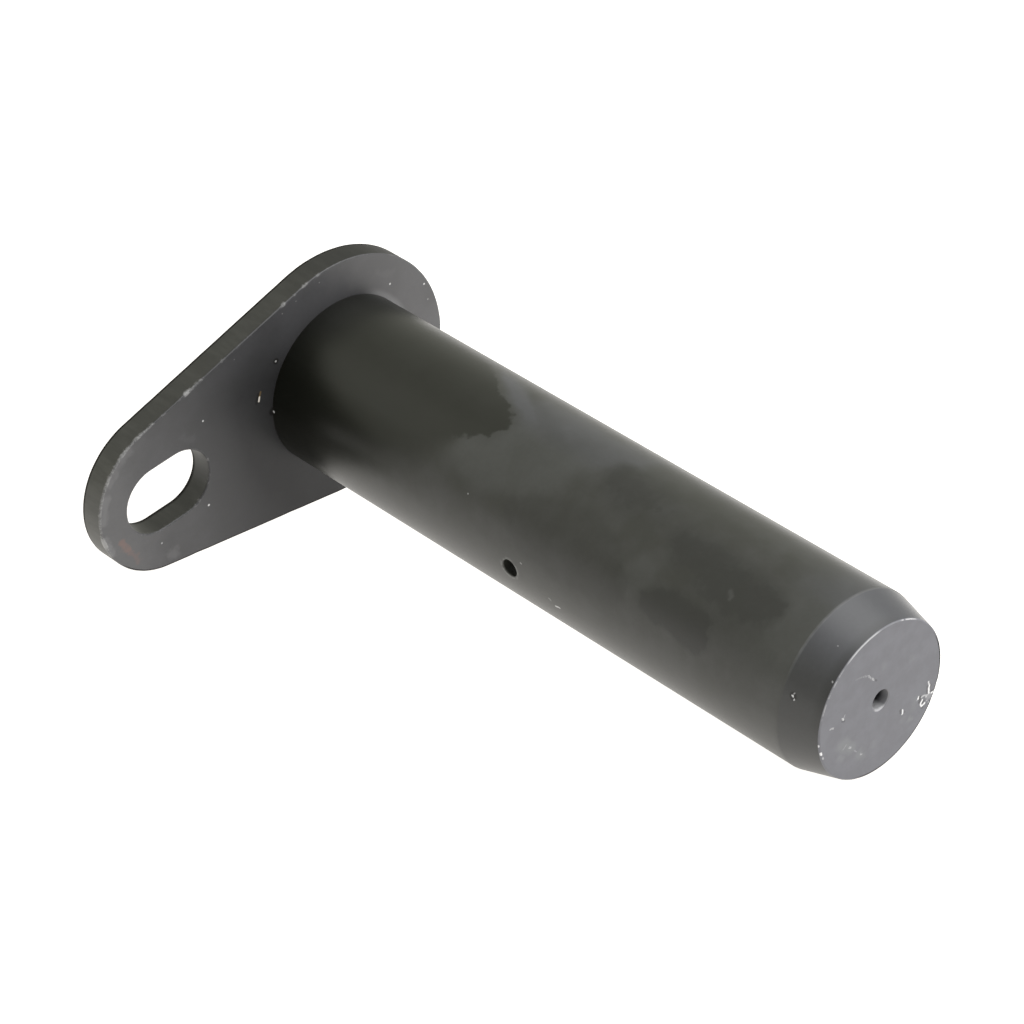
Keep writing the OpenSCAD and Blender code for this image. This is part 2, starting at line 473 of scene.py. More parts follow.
def fill_flat(s, z, up, outer, inner):
    """Fills a flat face between rings of existing vertices with even triangles."""
    ids, pts, edges = [], [], []
    for ring_ids in [outer] + inner:
        base = len(ids)
        n = len(ring_ids)
        for k, v in enumerate(ring_ids):
            ids.append(v)
            pts.append(Vector(s.co[v][:2]))
            edges.append((base + k, base + (k + 1) % n))
    fixed = len(ids)
    ring_xy = [np.array([s.co[v][:2] for v in r]) for r in [outer] + inner]

    def inside(poly, x, y):
        px, py = poly[:, 0], poly[:, 1]
        qx, qy = np.roll(px, -1), np.roll(py, -1)
        hit = (py > y) != (qy > y)
        with np.errstate(divide="ignore", invalid="ignore"):
            xx = px + (y - py) * (qx - px) / (qy - py)
        return int(np.sum(hit & (x < xx))) % 2 == 1

    every = np.concatenate(ring_xy)
    step = 2.4
    for row in range(-20, 21):
        for col in range(-20, 40):
            x, y = (col + 0.5 * (row % 2)) * step, row * step * 0.866
            if not inside(ring_xy[0], x, y) or any(inside(p, x, y) for p in ring_xy[1:]):
                continue
            if np.min((every[:, 0] - x) ** 2 + (every[:, 1] - y) ** 2) < 1.5 ** 2:
                continue
            ids.append(s.vert(x, y, z))
            pts.append(Vector((x, y)))
    vo, _, fo, ov, _, _ = delaunay_2d_cdt(pts, edges, [], 0, 1e-7)
    for f in fo:
        cx = sum(vo[i].x for i in f) / len(f)
        cy = sum(vo[i].y for i in f) / len(f)
        if not inside(ring_xy[0], cx, cy) or any(inside(p, cx, cy) for p in ring_xy[1:]):
            continue
        tri = [ids[ov[i][0]] for i in f]
        a, b, c = (s.co[i] for i in tri[:3])
        area = (b[0] - a[0]) * (c[1] - a[1]) - (b[1] - a[1]) * (c[0] - a[0])
        if (area > 0) != (up > 0):
            tri = tri[::-1]
        s.face(tri, [(0, 0, up)] * len(tri))


def plate_shape():
    s = Shape()

    def edge_band(line, front, back, sign, rows):
        """Rounded corners and wall of one closed line; sign is 1 for the outside and -1 for a hole.
        Returns the rings that the front and back faces start from."""
        n = len(line)
        dirs = [(math.cos(a) * sign, math.sin(a) * sign) for _, _, a in line]
        rings = []

        def add(off, zs, nr, nz):
            ids = [s.vert(line[i][0] - dirs[i][0] * off[i], line[i][1] - dirs[i][1] * off[i], zs[i]) for i in range(n)]
            rings.append((ids, [(dirs[i][0] * nr, dirs[i][1] * nr, nz) for i in range(n)]))

        add([front[i] + 0.35 for i in range(n)], [0.0] * n, 0, 1)
        for k in range(6):
            a = math.pi / 2 * (1 - k / 5)
            add([front[i] * (1 - math.cos(a)) for i in range(n)], [-front[i] * (1 - math.sin(a)) for i in range(n)],
                math.cos(a), math.sin(a))
        for f in rows:
            add([0.0] * n, [-front[i] - (PLATE_T - front[i] - back[i]) * f for i in range(n)], 1, 0)
        for k in range(6):
            a = -math.pi / 2 * k / 5
            add([back[i] * (1 - math.cos(a)) for i in range(n)], [-PLATE_T + back[i] * (1 + math.sin(a)) for i in range(n)],
                math.cos(a), math.sin(a))
        add([back[i] + 0.35 for i in range(n)], [-PLATE_T] * n, 0, -1)
        for (a, na), (b, nb) in zip(rings, rings[1:]):
            s.strip(a, b, na, nb, flip=sign > 0)
        # how rubbed each point of the front corner is, and where painted shade sits: a painted contact
        # shadow along the corners that lie lowest, and painted shade along the back corner
        for ids, _ in rings[1:7]:
            for i, v in enumerate(ids):
                x, y, a = line[i]
                base = 0.20
                if sign > 0 and x > REACH:      # the small end is rubbed all along its upper corner
                    base += 0.24 * smooth(0.30, -0.15, math.sin(a))
                elif sign > 0:
                    base += 0.03 * smooth(-0.2, -0.8, math.sin(a))
                s.mask("rub", v, min(1.0, base + max(0.0, front[i] - 0.30) * 2.4))
                if sign > 0:
                    s.mask("painted_shade", v, smooth(0.35, 0.75, math.sin(line[i][2])))
        for ids, _ in rings[-7:-1]:
            for v in ids:
                s.mask("painted_shade", v, 1.0)
        return rings[0][0], rings[-1][0]

    line = outline()
    front = [corner(x, y) for x, y, _ in line]
    back = [0.30 + 0.06 * wobble(x * 0.3, y * 0.3, 11.0) for x, y, _ in line]
    of, ob = edge_band(line, front, back, 1, (0.2, 0.4, 0.6, 0.8))
    sl = slot_line()
    sf, sb = edge_band(sl, [0.34 + 0.05 * wobble(x * 0.5, y * 0.5, 5.0) for x, y, _ in sl], [0.32] * len(sl), -1, (0.33, 0.67))

    # hole for the spigot with its coned mouth
    n = 160
    cs = [(math.cos(2 * math.pi * i / n), math.sin(2 * math.pi * i / n)) for i in range(n)]
    half = math.sqrt(0.5)
    prof = ((SHAFT_R, 0.0), (SPIGOT_R, -SEAT), (SPIGOT_R, -PLATE_T))
    rings = [[s.vert(r * c, r * q, z) for c, q in cs] for r, z in prof]
    for k, (nr, nz) in enumerate(((-half, half), (-1, 0))):
        nn = [(c * nr, q * nr, nz) for c, q in cs]
        s.strip(rings[k], rings[k + 1], nn, nn)
    fill_flat(s, 0.0, 1, of, [rings[0], sf])
    fill_flat(s, -PLATE_T, -1, ob, [rings[2], sb])
    return s


# ---------------------------------------------------------------- ring weld
def weld_shape():
    s = Shape()
    seg, across = 480, 16
    half = GROOVE / 2 + WELD_LAP
    mid = SPIGOT_R - GROOVE / 2

    def height(t, u):
        """How far the bead stands out, by the angle round the ring and the place across it (-1 to 1)."""
        ripple = (t * 50 / (2 * math.pi) + 0.75 * u * u + 0.10 * wobble(math.cos(t) * 4, math.sin(t) * 4, u)) % 1.0
        scale = (1 - ripple) ** 1.5 * smooth(0.0, 0.10, ripple)
        lump = 0.16 * wobble(math.cos(t) * 1.6, math.sin(t) * 1.6, 3.0)
        stop = 0.22 * math.exp(-(((math.degrees(t) - 205 + 180) % 360 - 180) / 7.0) ** 2)
        crown = max(0.0, 1 - u * u)
        return crown ** 0.85 * (WELD_CROWN * (0.80 + lump) + stop) + 0.17 * scale * crown ** 0.5

    top = []
    for k in range(across + 1):
        u = 1 - 2 * k / across
        ids = []
        for i in range(seg):
            t = 2 * math.pi * i / seg
            wide = half * (1 + 0.06 * wobble(math.cos(t) * 5, math.sin(t) * 5, 9.0 + (u > 0)))
            r = mid + u * wide
            ids.append(s.vert(r * math.cos(t), r * math.sin(t), -PLATE_T - height(t, u)))
        top.append(ids)
    co = np.array(s.co).reshape(across + 1, seg, 3)
    du = np.gradient(co, axis=0)
    dt = (np.roll(co, -1, axis=1) - np.roll(co, 1, axis=1)) / 2
    nrm = np.cross(du, dt)
    nrm /= np.linalg.norm(nrm, axis=2)[:, :, None]
    if nrm[across // 2, :, 2].mean() > 0:
        nrm = -nrm
    for k in range(across):
        s.strip(top[k], top[k + 1], [tuple(v) for v in nrm[k]], [tuple(v) for v in nrm[k + 1]], flip=True)

    def ring(r, z):
        return [s.vert(r * math.cos(2 * math.pi * i / seg), r * math.sin(2 * math.pi * i / seg), z) for i in range(seg)]

    def nn(nr, nz):
        return [(nr * math.cos(2 * math.pi * i / seg), nr * math.sin(2 * math.pi * i / seg), nz) for i in range(seg)]

    # underside in the groove, hidden between the spigot and the plate
    half_n = math.sqrt(0.5)
    a = ring(SPIGOT_R - GROOVE, -PLATE_T)
    b = ring(SPIGOT_R, GROOVE - PLATE_T)
    c = ring(SPIGOT_R, -PLATE_T)
    s.strip(top[-1], a, nn(0, 1), nn(0, 1), flip=True)
    s.strip(a, b, nn(-half_n, half_n), nn(-half_n, half_n), flip=True)
    s.strip(b, c, nn(1, 0), nn(1, 0), flip=True)
    s.strip(c, top[0], nn(0, 1), nn(0, 1), flip=True)
    return s


# ---------------------------------------------------------------- palette
OLIVE_MID, GREY_MID = (0.0290, 0.0297, 0.0240), (0.0372, 0.0378, 0.0335)
PALE, PALE_LOW = (0.0560, 0.0572, 0.0590), (0.0500, 0.0515, 0.0470)
OLIVE_DARK, STAIN, CORNER_SHADE = (0.0165, 0.0170, 0.0140), (0.0098, 0.0105, 0.0060), (0.0061, 0.0063, 0.0049)
TAPER_HIGH, TAPER_LOW = (0.0605, 0.062, 0.0675), (0.0430, 0.0436, 0.0420)
END_A, END_B = (0.131, 0.1325, 0.1485), (0.149, 0.1515, 0.169)
FACE_A, FACE_B = (0.052, 0.052, 0.0545), (0.063, 0.063, 0.0665)
EDGE_A, EDGE_B = (0.024, 0.0242, 0.0195), (0.034, 0.034, 0.0285)
BARE, BLACK = (0.62, 0.62, 0.62), (0.006, 0.006, 0.005)

# ---------------------------------------------------------------- material helper
class Tree:
    """Short calls for building a node material in the drawing's own millimetres."""

    def __init__(self, name):
        self.mat = bpy.data.materials.new(name)
        self.mat.use_nodes = True
        self.nt = self.mat.node_tree
        self.nt.nodes.clear()
        self.out = self.nt.nodes.new("ShaderNodeOutputMaterial")
        self.bsdf = self.nt.nodes.new("ShaderNodeBsdfPrincipled")
        self.nt.links.new(self.bsdf.outputs[0], self.out.inputs[0])
        tc = self.nt.nodes.new("ShaderNodeTexCoord")
        mp = self.nt.nodes.new("ShaderNodeMapping")
        mp.vector_type = "POINT"
        mp.inputs["Scale"].default_value = (1000, 1000, 1000)
        mp.inputs["Rotation"].default_value = (0, -(math.pi / 2 + LIE), SIDE)
        self.nt.links.new(tc.outputs["Object"], mp.inputs["Vector"])
        self.p = mp.outputs[0]
        sep = self.nt.nodes.new("ShaderNodeSeparateXYZ")
        self.nt.links.new(self.p, sep.inputs[0])
        self.x, self.y, self.z = sep.outputs

    def put(self, socket, value):
        if isinstance(value, bpy.types.NodeSocket):
            self.nt.links.new(value, socket)
        else:
            socket.default_value = value

    def math(self, op, a, b=None, c=None, clamp=False):
        n = self.nt.nodes.new("ShaderNodeMath")
        n.operation, n.use_clamp = op, clamp
        for k, v in enumerate((a, b, c)):
            if v is not None:
                self.put(n.inputs[k], v)
        return n.outputs[0]

    def add(self, a, b):
        return self.math("ADD", a, b)

    def mul(self, a, b):
        return self.math("MULTIPLY", a, b)

    def sub(self, a, b):
        return self.math("SUBTRACT", a, b)

    def high(self, a, b):
        return self.math("MAXIMUM", a, b)

    def vec(self, op, a, b=None, scale=None):
        n = self.nt.nodes.new("ShaderNodeVectorMath")
        n.operation = op
        self.put(n.inputs[0], a)
        if b is not None:
            self.put(n.inputs[1], b)
        if scale is not None:
            self.put(n.inputs["Scale"], scale)
        return n.outputs["Value"] if op in ("LENGTH", "DISTANCE", "DOT_PRODUCT") else n.outputs[0]

    def noise(self, scale, detail=3.0, rough=0.55, at=None, offset=None, lac=2.0):
        """Noise from 0 to 1, scale in cycles per millimetre."""
        n = self.nt.nodes.new("ShaderNodeTexNoise")
        v = at or self.p
        if offset:
            v = self.vec("ADD", v, offset)
        self.put(n.inputs["Vector"], v)
        n.inputs["Scale"].default_value = scale
        n.inputs["Detail"].default_value = detail
        n.inputs["Roughness"].default_value = rough
        n.inputs["Lacunarity"].default_value = lac
        return n.outputs[0]

    def color_noise(self, scale, detail=4.0):
        n = self.nt.nodes.new("ShaderNodeTexNoise")
        self.put(n.inputs["Vector"], self.p)
        n.inputs["Scale"].default_value = scale
        n.inputs["Detail"].default_value = detail
        n.inputs["Roughness"].default_value = 0.6
        return n.outputs["Color"]

    def step(self, x, lo, hi, a=0.0, b=1.0):
        """Smooth step of x from a at lo to b at hi."""
        n = self.nt.nodes.new("ShaderNodeMapRange")
        n.interpolation_type = "SMOOTHSTEP"
        self.put(n.inputs["Value"], x)
        if hi < lo:
            lo, hi, a, b = hi, lo, b, a
        for key, v in (("From Min", lo), ("From Max", hi), ("To Min", a), ("To Max", b)):
            n.inputs[key].default_value = v
        return n.outputs[0]

    def mix(self, f, a, b):
        n = self.nt.nodes.new("ShaderNodeMix")
        n.data_type = "RGBA"
        self.put(n.inputs[0], f)
        for sock, v in ((n.inputs[6], a), (n.inputs[7], b)):
            self.put(sock, v if isinstance(v, bpy.types.NodeSocket) else (*v, 1.0))
        return n.outputs[2]

    def scale(self, colour, f):
        """Colour times a factor."""
        n = self.nt.nodes.new("ShaderNodeVectorMath")
        n.operation = "SCALE"
        self.put(n.inputs[0], colour)
        self.put(n.inputs["Scale"], f)
        return n.outputs[0]

    def dab(self, a, b, radius, soft=0.5, at=None):
        """Mask of a stroke from a to b: 1 on it, 0 beyond its radius."""
        v = at or self.p
        a, b = Vector(a), Vector(b)
        if (b - a).length < 1e-6:
            d = self.vec("DISTANCE", v, tuple(a))
        else:
            ab = b - a
            t = self.vec("DOT_PRODUCT", self.vec("SUBTRACT", v, tuple(a)), tuple(ab / ab.length_squared))
            t = self.math("ADD", t, 0.0, clamp=True)
            foot = self.vec("ADD", self.vec("SCALE", tuple(ab), scale=t), tuple(a))
            d = self.vec("DISTANCE", v, foot)
        return self.step(d, radius, radius * (1 - soft))

    def most(self, masks):
        m = masks[0]
        for k in masks[1:]:
            m = self.high(m, k)
        return m

    def bump(self, height, strength, distance, normal=None):
        n = self.nt.nodes.new("ShaderNodeBump")
        n.inputs["Strength"].default_value = strength
        n.inputs["Distance"].default_value = distance
        self.put(n.inputs["Height"], height)
        if normal is not None:
            self.put(n.inputs["Normal"], normal)
        return n.outputs[0]

    def mask(self, name):
        """One of the masks set on the mesh."""
        n = self.nt.nodes.new("ShaderNodeAttribute")
        n.attribute_name = name
        return n.outputs["Fac"]

    def jitter(self, scale, detail, size):
        """Seeded shifts that roughen the outline of a mark."""
        return self.vec("SCALE", self.vec("SUBTRACT", self.color_noise(scale, detail), (0.5, 0.5, 0.5)), scale=size)

    def radius(self):
        return self.math("SQRT", self.add(self.mul(self.x, self.x), self.mul(self.y, self.y)))

    def arc(self, theta, mid_deg, half_deg, soft=0.7):
        """Mask of a stretch round the axis, 1 in its middle."""
        c = self.math("COSINE", self.sub(theta, math.radians(mid_deg)))
        return self.step(c, math.cos(math.radians(half_deg)), math.cos(math.radians(half_deg * (1 - soft))))

    def finish(self, colour, rough, normal, gloss=None):
        self.put(self.bsdf.inputs["Base Color"], colour)
        self.put(self.bsdf.inputs["Roughness"], rough)
        self.put(self.bsdf.inputs["Normal"], normal)
        if gloss is not None:
            self.put(self.bsdf.inputs["Specular IOR Level"], gloss)
        self.bsdf.inputs["IOR"].default_value = 1.5
        return self.mat


def shaft_material():
    t = Tree("shaft_oxide")
    theta = t.math("ARCTAN2", t.y, t.x)
    flat = t.nt.nodes.new("ShaderNodeCombineXYZ")
    t.put(flat.inputs[0], t.mul(theta, SHAFT_R))
    t.put(flat.inputs[1], t.z)
    wall = flat.outputs[0]

    def at(deg, z):
        return (math.radians(deg) * SHAFT_R, z, 0.0)

    mid = t.noise(0.13, 4, 0.58, offset=(31, 7, 12))
    fine = t.noise(1.1, 3, 0.6, offset=(5, 50, 2))
    tear = t.noise(0.42, 4, 0.62, offset=(17, 3, 9))
    # paler and darker tide marks, and the oil stain with its ragged edge
    stain = t.step(t.add(t.mask("stain"), t.mul(t.mul(t.sub(tear, 0.5), 5.0), t.mask("crisp"))), -0.5, 0.5)
    pale = t.high(t.mask("pale"), t.mul(t.step(t.z, 134, 150), t.add(0.34, t.mul(t.arc(theta, -88, 90, 0.8), 0.60))))
    tone = t.mix(t.step(mid, 0.32, 0.70), OLIVE_MID, GREY_MID)
    tone = t.mix(t.mul(pale, t.add(0.62, t.mul(mid, 0.55))), tone, t.mix(t.arc(theta, -112, 34, 0.6), PALE_LOW, PALE))
    dark = t.mask("dark")
    torn = t.step(t.add(dark, t.mul(t.sub(tear, 0.5), 1.3)), 0.12, 0.98)
    dark = t.high(t.math("MINIMUM", dark, 0.38), t.mul(torn, t.add(0.66, t.mul(mid, 0.5))))
    tone = t.mix(t.mul(dark, 0.80), tone, OLIVE_DARK)
    tone = t.mix(t.mul(stain, 0.92), tone, STAIN)
    # painted shade: almost black in the corner at the shaft's foot, next to the plate
    painted_shade = t.mask("painted_shade")
    tone = t.mix(t.mul(painted_shade, 0.80), tone, CORNER_SHADE)
    # lead-in taper: paler and cooler on top
    taper = t.step(t.z, 150.9, 151.15)
    tone = t.mix(taper, tone, t.mix(t.arc(theta, -100, 62, 0.75), TAPER_LOW, TAPER_HIGH))
    tone = t.mix(t.mul(t.step(t.z, 157.2, 159.4), t.mul(t.arc(theta, -60, 60, 0.5), 0.36)), tone, OLIVE_DARK)
    # painted highlight: a broken pale line along the upper side of the taper's start
    wear_and_edge_highlight = t.mul(t.step(t.math("ABSOLUTE", t.sub(t.z, 150.95)), 0.45, 0.12), t.mul(t.arc(theta, -84, 54, 0.7), t.mul(tear, 1.0)))
    tone = t.mix(wear_and_edge_highlight, tone, (0.125, 0.127, 0.130))
    tone = t.scale(tone, t.add(0.80, t.add(t.mul(mid, 0.22), t.mul(fine, 0.18))))

    # pale, broken ring where the mouth of the cross hole was cut
    ringd = t.vec("DISTANCE", wall, at(0, CROSS_Z))
    halo = t.mul(t.mul(t.step(ringd, 3.0, 2.45), t.step(ringd, 2.0, 2.3)), t.step(tear, 0.40, 0.58))
    tone = t.mix(t.mul(halo, 0.55), tone, (0.15, 0.155, 0.145))
    # bright scratches and specks, some of them in a dark pit
    wj = t.vec("ADD", wall, t.jitter(1.6, 3, 0.7))
    pits = t.most([t.dab(at(-29.2, 153.2), at(-28.2, 153.4), 0.95, 0.6, at=wall), t.dab(at(-9.0, 0.2), at(-9.0, 0.2), 1.1, 0.5, at=wall)])
    tone = t.mix(t.mul(pits, 0.8), tone, BLACK)
    hard = [t.mul(t.dab(at(8.9, 88.1), at(8.2, 89.3), 0.30, 0.7, at=wj), 0.7), t.mul(t.dab(at(-32.1, 60.9), at(-32.1, 60.9), 0.26, 0.7, at=wall), 0.40),
            t.mul(t.dab(at(-9.5, 78.5), at(-9.3, 78.8), 0.24, 0.7, at=wall), 0.30), t.mul(t.dab(at(-31.0, 153.4), at(-30.2, 153.2), 0.20, 0.7, at=wj), 0.45),
            t.dab(at(-28.9, 153.1), at(-28.3, 153.2), 0.28, 0.6, at=wj), t.mul(t.dab(at(-27.2, 153.6), at(-26.7, 153.6), 0.24, 0.7, at=wj), 0.7), t.mul(t.dab(at(-47.7, 159.2), at(-47.2, 159.3), 0.22, 0.7, at=wall), 0.45),
            t.dab(at(-9.0, 0.35), at(-9.0, 0.35), 0.42, 0.6, at=wall), t.mul(t.dab(at(-62.2, 129.9), at(-60.3, 130.5), 0.9, 0.9, at=wj), 0.035), t.mul(t.dab(at(-60.4, 130.8), at(-58.2, 130.7), 0.7, 0.9, at=wj), 0.035),
            t.mul(t.dab(at(-67.8, 156.3), at(-67.8, 156.3), 0.24, 0.7, at=wall), 0.25), t.mul(t.dab(at(5.3, 86.4), at(5.8, 86.9), 0.30, 0.8, at=wj), 0.22)]
    tone = t.mix(t.most(hard), tone, BARE)

    rough = t.add(0.30, t.add(t.mul(fine, 0.08), t.mul(mid, 0.07)))
    rough = t.sub(rough, t.mul(stain, 0.03))
    # weaker gloss at the foot and on the flank near the plate: painted shade in the reflections
    gloss = t.sub(0.5, t.mul(painted_shade, t.add(0.05, t.mul(t.arc(theta, -4, 62, 0.5), 0.22))))
    gloss = t.high(t.sub(gloss, t.mul(t.mul(t.arc(theta, -28, 22, 0.6), t.mul(t.add(0.42, t.mul(t.step(t.z, 44, 24), 0.58)), t.step(t.z, -0.9, -0.3))), 0.105)), 0.03)
    gloss = t.sub(gloss, t.mul(t.mul(t.arc(theta, 32, 28, 0.6), t.mul(t.step(t.z, 126, 148), t.step(t.z, 151.2, 150.9))), 0.08))
    # turned grain along the wall and a fine oxide grain
    turn = t.noise(1.0, 1, 0.5, at=t.vec("MULTIPLY", t.p, (0.05, 0.05, 3.2)))
    nrm = t.bump(t.add(t.noise(2.6, 2, 0.55), t.mul(turn, 0.8)), 0.35, 0.0000016)
    return t.finish(tone, rough, nrm, gloss)


def end_material():
    t = Tree("end_oxide")
    theta = t.math("ARCTAN2", t.y, t.x)
    rad = t.radius()
    # paler than the wall, with faint clouds
    cloud = t.noise(0.22, 4, 0.55, offset=(9, 2, 40))
    fine = t.noise(1.1, 4, 0.6, offset=(5, 50, 2))
    tone = t.mix(t.step(cloud, 0.35, 0.68), END_A, END_B)
    tone = t.scale(tone, t.add(0.92, t.mul(fine, 0.16)))
    pj = t.vec("ADD", t.p, t.jitter(1.9, 4, 1.1))
    pw = t.vec("ADD", t.p, t.jitter(0.45, 4, 3.2))

    def stroke(x0, y0, x1, y1, r, soft=0.6, at=None):
        return t.dab((x0, y0, LENGTH), (x1, y1, LENGTH), r, soft, at=at or pj)

    # cloudy smudges
    smudge = t.most([t.mul(stroke(-7.5, 10.6, -7.9, 10.9, 1.3, 0.95, pw), 0.55), t.mul(stroke(-5.6, 9.3, -6.0, 9.5, 1.3, 0.95, pw), 0.25),
                     t.mul(stroke(11.5, 3.4, 9.4, 6.2, 2.4, 0.9, pw), 0.62), t.mul(stroke(6.9, 9.2, 6.1, 10.3, 1.9, 0.9, pw), 0.5),
                     t.mul(stroke(12.4, 6.6, 11.8, 7.4, 1.5, 0.9, pw), 0.4), t.mul(stroke(2.9, 9.8, 2.6, 10.0, 1.3, 0.9, pw), 0.3),
                     t.mul(stroke(-9.4, -4.5, -9.8, -4.2, 1.6, 0.9, pw), 0.3), t.mul(stroke(-1.4, -8.4, -1.6, -7.6, 1.3, 0.9, pw), 0.25),
                     t.mul(stroke(-9.6, 6.8, -9.0, 8.6, 1.8, 0.9, pw), 0.3)])
    tone = t.mix(smudge, tone, (0.19, 0.20, 0.205))
    # dark nicks beside the scratches, then the scratches
    pq = t.vec("ADD", t.p, t.jitter(1.5, 3, 0.55))
    nick = t.most([t.mul(stroke(*k[:5], 0.6, pq), k[5]) for k in (
        (-11.0, 7.17, -10.7, 8.52, 0.38, 0.8), (-11.98, 8.93, -11.5, 9.32, 0.34, 0.8), (-14.16, 6.34, -14.16, 6.34, 0.40, 0.7),
        (-14.3, 7.96, -15.09, 8.16, 0.34, 0.8), (-14.92, 9.19, -14.92, 9.19, 0.42, 0.8), (-13.7, 10.71, -13.5, 10.8, 0.46, 0.8),
        (-11.33, 10.35, -11.6, 10.30, 0.34, 0.7), (-13.17, 5.83, -13.02, 7.6, 0.34, 0.45), (-5.23, 6.71, -5.25, 7.35, 0.36, 0.6),
        (-6.39, 7.93, -6.39, 7.93, 0.34, 0.5), (10.9, -2.2, 10.4, -1.9, 0.35, 0.55), (1.2, -6.2, 0.8, -5.8, 0.3, 0.55))])
    tone = t.mix(nick, tone, (0.035, 0.035, 0.036))
    chip = t.most([t.mul(stroke(*k[:4], k[4] * 0.84, 0.6, pq), k[5]) for k in (
        (-13.67, 5.04, -13.84, 6.1, 0.32, 0.75), (-13.84, 6.1, -13.58, 6.75, 0.36, 1.0), (-13.58, 6.75, -13.62, 8.03, 0.38, 1.0),
        (-14.28, 8.41, -15.07, 8.46, 0.38, 1.0), (-10.54, 6.88, -10.43, 7.38, 0.38, 1.0), (-10.4, 7.4, -10.02, 7.5, 0.30, 0.22),
        (-11.38, 7.55, -12.05, 7.63, 0.32, 0.45), (-12.05, 7.63, -13.26, 8.3, 0.32, 0.40), (-12.69, 8.3, -12.69, 8.3, 0.42, 0.5),
        (-11.61, 8.5, -10.95, 9.12, 0.40, 1.0), (-10.95, 9.12, -11.24, 9.97, 0.38, 0.9), (-11.24, 9.97, -12.27, 9.78, 0.38, 1.0),
        (-13.34, 8.88, -13.79, 9.0, 1.10, 0.16), (-12.85, 9.57, -12.85, 9.57, 0.36, 0.35), (-13.26, 10.29, -13.26, 10.29, 0.36, 0.32),
        (-5.89, 6.98, -5.77, 8.04, 0.34, 1.0))])
    tone = t.mix(chip, tone, (0.80, 0.80, 0.80))
    scratch = t.most([t.mul(stroke(*k[:5]), k[5]) for k in (
        (10.9, -3.0, 10.6, -2.4, 0.28, 0.9), (10.6, -2.5, 10.1, -3.3, 0.22, 0.6),
        (14.2, -2.7, 13.5, -2.2, 0.26, 0.5), (9.4, 5.9, 9.2, 6.1, 0.30, 0.8), (6.6, 9.8, 6.3, 10.2, 0.28, 0.45),
        (6.4, -10.0, 4.7, -9.5, 0.30, 0.22), (4.7, -9.5, 3.0, -8.7, 0.30, 0.28), (3.0, -8.6, 1.7, -6.7, 0.30, 0.45),
        (1.9, -7.1, 1.5, -6.4, 0.26, 0.55), (10.4, 4.6, 11.2, 5.2, 0.24, 0.3), (8.2, 7.6, 7.6, 8.4, 0.22, 0.25))])
    tone = t.mix(t.mul(scratch, t.step(t.noise(1.9, 3, 0.6, offset=(4, 9, 6)), 0.36, 0.60, 0.25, 1.0)), tone, BARE)
    # rim: a broken painted highlight along the top, painted shade along the bottom
    rim = t.mask("rim")
    gap = t.step(t.noise(0.55, 4, 0.65, offset=(2, 2, 2)), 0.38, 0.58)
    lit = t.most([t.mul(t.arc(theta, -75, 70, 0.4), 0.13), t.mul(t.arc(theta, -78, 20, 0.6), 0.8), t.mul(t.mul(t.arc(theta, -122, 10, 0.5), gap), 1.0),
                  t.mul(t.mul(t.arc(theta, -40, 24, 0.6), gap), 0.45)])
    tone = t.mix(t.mul(rim, lit), tone, BARE)
    shade = t.mul(t.arc(theta, 131, 76, 0.25), t.step(rad, 17.0, 17.2))
    tone = t.mix(t.mul(shade, 0.85), tone, BLACK)
    spots = t.most([t.mul(t.dab((17.65, -0.4, 159.75), (17.65, -0.3, 159.75), 0.36, 0.6), 0.8), t.dab((17.2, 2.2, 159.95), (17.27, 1.7, 159.9), 0.36, 0.6),
                    t.mul(t.dab((16.9, 3.2, 160), (16.8, 3.5, 160), 0.30, 0.6), 0.35)])
    tone = t.mix(spots, tone, (0.8, 0.8, 0.8))
    # inside the drilling: painted shade farther in, and a pale patch on the lower wall, partly the bare steel of a burr
    # and partly painted light falling into the hole
    bore = t.mul(t.step(rad, 2.75, 2.45), t.step(t.z, 159.99, 159.9))
    wall = t.mix(t.step(t.add(t.z, t.mul(fine, 0.8)), 157.6, 159.3), (0.012, 0.012, 0.013), (0.22, 0.22, 0.23))
    burr_and_lit_patch = t.mul(t.arc(theta, 78, 44, 0.7), t.step(t.add(t.z, t.mul(fine, 1.2)), 157.4, 158.6))
    tone = t.mix(bore, tone, t.mix(burr_and_lit_patch, wall, (0.44, 0.44, 0.45)))
    rough = t.add(0.38, t.add(t.mul(fine, 0.08), t.mul(cloud, 0.07)))
    gloss = t.sub(0.5, t.mul(shade, 0.42))
    ring = t.noise(1.0, 1, 0.5, at=t.vec("SCALE", (1.0, 0.0, 0.0), scale=t.mul(rad, 2.2)))
    nrm = t.bump(t.add(t.noise(2.6, 2, 0.55), t.mul(ring, 0.4)), 0.35, 0.0000016)
    return t.finish(tone, rough, nrm, gloss)


